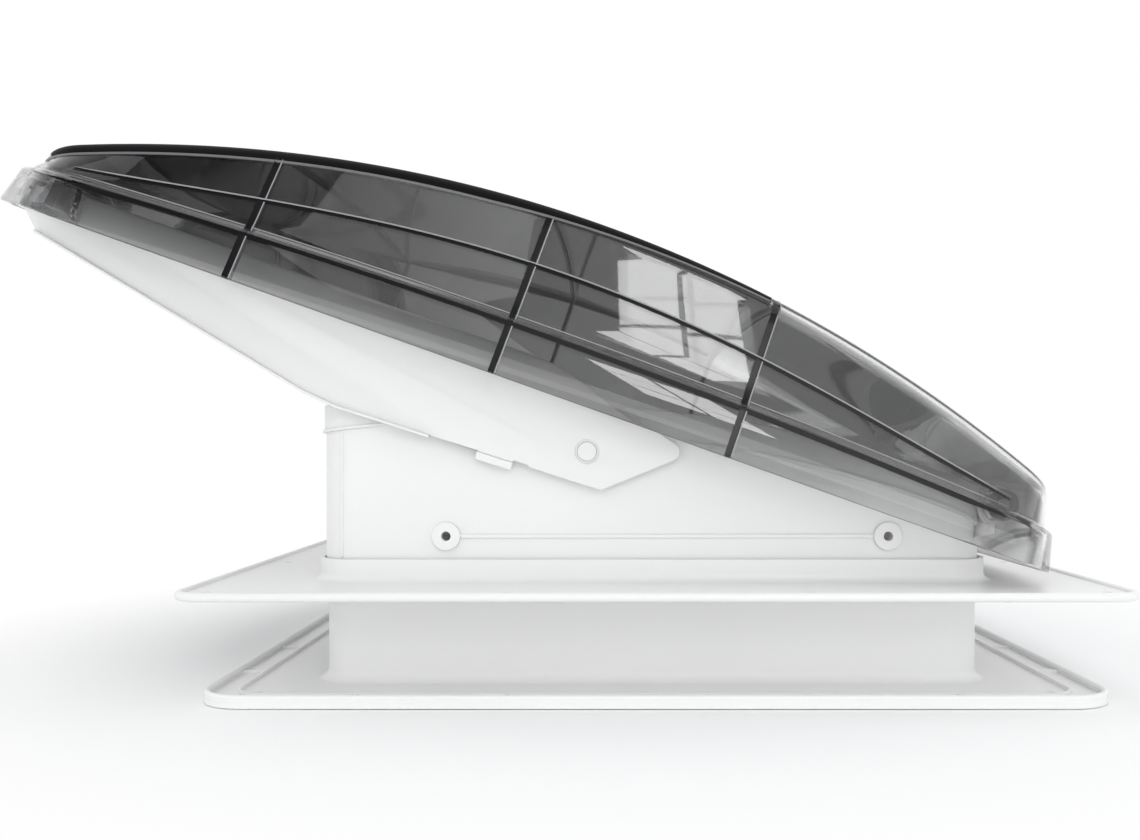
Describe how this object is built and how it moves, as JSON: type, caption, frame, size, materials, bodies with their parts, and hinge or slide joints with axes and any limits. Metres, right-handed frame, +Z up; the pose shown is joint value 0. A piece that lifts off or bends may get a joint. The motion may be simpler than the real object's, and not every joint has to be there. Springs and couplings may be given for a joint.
{
  "type": "powered roof vent",
  "caption": "Powered caravan roof vent: flanged collar, fan housing, tilting smoked lid with a pivoting rain shield, ducted fan, and a dished ceiling trim with screen, keys and knob.",
  "frame": {"origin": "middle of the square roof hole, on the roof's outer surface, which is the underside of the flange and the plane of its screw holes", "axes": "+X from the raised rear of the lid towards its hinge, +Z up out of the roof, Y across the vent"},
  "size_m": [0.5821, 0.475, 0.2908],
  "materials": {
    "white_plastic": "smooth glossy white moulding",
    "smoked_plastic": "clear smoked moulding with a polished surface",
    "seal_rubber": "matt black foam rubber",
    "black_plastic": "fine-grained black moulding",
    "fan_grey": "satin light grey moulding",
    "screen_grey": "woven grey screen",
    "key_grey": "soft grey key caps",
    "board_green": "lacquered circuit board",
    "steel": "zinc-plated steel"
  },
  "bodies": {
    "vent_body": {"roof_flange": "white_plastic", "collar_seal": "seal_rubber", "fan_housing": "white_plastic", "housing_throat": "white_plastic", "hinge_brackets": "white_plastic", "hinge_pins": "steel", "hinge_screws": "steel", "shaft_bushes": "black_plastic", "gear_bracket": "white_plastic", "gear_bracket_screws": "steel", "fan_duct": "white_plastic", "duct_screws": "steel", "motor_bracket": "white_plastic", "motor_can": "steel", "motor_cap": "black_plastic", "motor_screws": "steel", "ceiling_trim": "white_plastic", "screen_frame": "white_plastic", "screen_mesh": "screen_grey", "tab_screws": "steel", "key_panel": "black_plastic", "control_board": "board_green"},
    "lid": {"lid_shell": "smoked_plastic", "hinge_bosses": "smoked_plastic", "lid_guides": "smoked_plastic"},
    "shield": {"rain_shield": "white_plastic", "guide_pins": "steel", "cross_shaft": "white_plastic", "worm_wheel": "black_plastic"},
    "lift": {"worm_shaft": "steel", "lift_knob": "white_plastic", "knob_screw": "steel"},
    "fan": {"fan_rotor": "fan_grey", "motor_shaft": "steel", "hub_nut": "steel"},
    "tab_1": {"screen_tab_1": "white_plastic"},
    "tab_2": {"screen_tab_2": "white_plastic"},
    "tab_3": {"screen_tab_3": "white_plastic"},
    "tab_4": {"screen_tab_4": "white_plastic"},
    "button_1": {"key_1": "key_grey"},
    "button_2": {"key_2": "key_grey"},
    "button_3": {"key_3": "key_grey"},
    "button_4": {"key_4": "key_grey"}
  },
  "joints": [
    {"name": "lid_hinge", "type": "hinge", "parent": "vent_body", "child": "lid", "pos_m": [0.181, 0, 0.0447], "axis": [0, -1, 0], "range_deg": [0, 17.5]},
    {"name": "shield_pivot", "type": "hinge", "parent": "vent_body", "child": "shield", "pos_m": [-0.035, 0, 0.0726], "axis": [0, -1, 0], "range_deg": [0, 29.4]},
    {"name": "lift_turn", "type": "hinge", "parent": "vent_body", "child": "lift", "pos_m": [-0.0645, 0.156, 0.0726], "axis": [0, 0, 1], "range_deg": [0, 705.6]},
    {"name": "fan_spin", "type": "hinge", "parent": "vent_body", "child": "fan", "pos_m": [0, 0, 0], "axis": [0, 0, 1], "continuous": true},
    {"name": "tab_1_turn", "type": "hinge", "parent": "vent_body", "child": "tab_1", "pos_m": [0.11243, 0.11243, -0.0445], "axis": [0, 0, 1], "range_deg": [0, 90]},
    {"name": "tab_2_turn", "type": "hinge", "parent": "vent_body", "child": "tab_2", "pos_m": [-0.11243, 0.11243, -0.0445], "axis": [0, 0, 1], "range_deg": [0, 90]},
    {"name": "tab_3_turn", "type": "hinge", "parent": "vent_body", "child": "tab_3", "pos_m": [-0.11243, -0.11243, -0.0445], "axis": [0, 0, 1], "range_deg": [0, 90]},
    {"name": "tab_4_turn", "type": "hinge", "parent": "vent_body", "child": "tab_4", "pos_m": [0.11243, -0.11243, -0.0445], "axis": [0, 0, 1], "range_deg": [0, 90]},
    {"name": "button_1_press", "type": "slide", "parent": "vent_body", "child": "button_1", "axis": [0, 0, 1], "range_m": [0, 0.001], "stiffness_N_per_m": 400},
    {"name": "button_2_press", "type": "slide", "parent": "vent_body", "child": "button_2", "axis": [0, 0, 1], "range_m": [0, 0.001], "stiffness_N_per_m": 400},
    {"name": "button_3_press", "type": "slide", "parent": "vent_body", "child": "button_3", "axis": [0, 0, 1], "range_m": [0, 0.001], "stiffness_N_per_m": 400},
    {"name": "button_4_press", "type": "slide", "parent": "vent_body", "child": "button_4", "axis": [0, 0, 1], "range_m": [0, 0.001], "stiffness_N_per_m": 400}
  ],
  "couplings": [
    {"joint": "shield_pivot", "follows": "lid_hinge", "ratio": 1.68},
    {"joint": "lift_turn", "follows": "lid_hinge", "ratio": 40.32}
  ]
}
